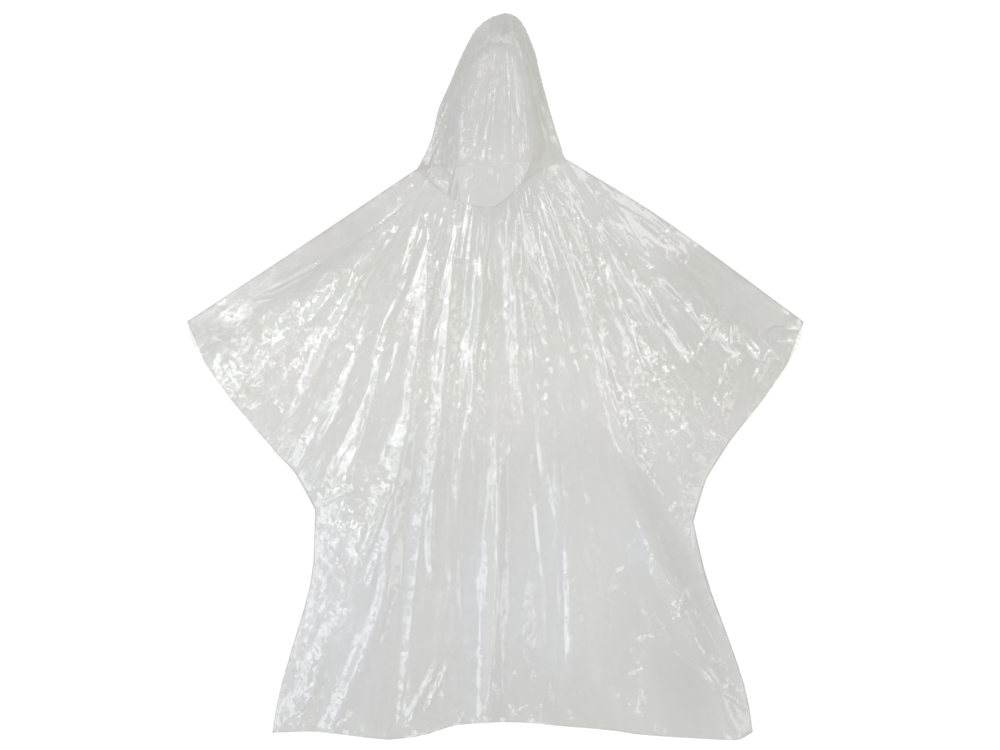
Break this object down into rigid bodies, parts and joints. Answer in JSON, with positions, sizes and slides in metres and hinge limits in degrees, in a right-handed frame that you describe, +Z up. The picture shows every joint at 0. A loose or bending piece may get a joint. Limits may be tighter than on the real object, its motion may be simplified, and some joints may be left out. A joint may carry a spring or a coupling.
{
  "type": "hooded rain poncho",
  "caption": "Clear film hooded rain poncho with wide half sleeves, laid out flat on its back with the face opening up.",
  "frame": {"origin": "centre of the bounding box's bottom, on the surface that the poncho lies on", "axes": "+Y from the hem to the top of the hood, +Z up out of the front, +X to the wearer's left"},
  "size_m": [1.081, 1.2755, 0.0242],
  "materials": {
    "back_film": "clear crinkled polyethylene film",
    "front_film": "clear crinkled polyethylene film",
    "hood_film": "clear crinkled polyethylene film"
  },
  "bodies": {
    "root": {"back_panel": "back_film", "front_panel": "front_film", "hood_right": "hood_film", "hood_left": "hood_film"}
  },
  "joints": []
}
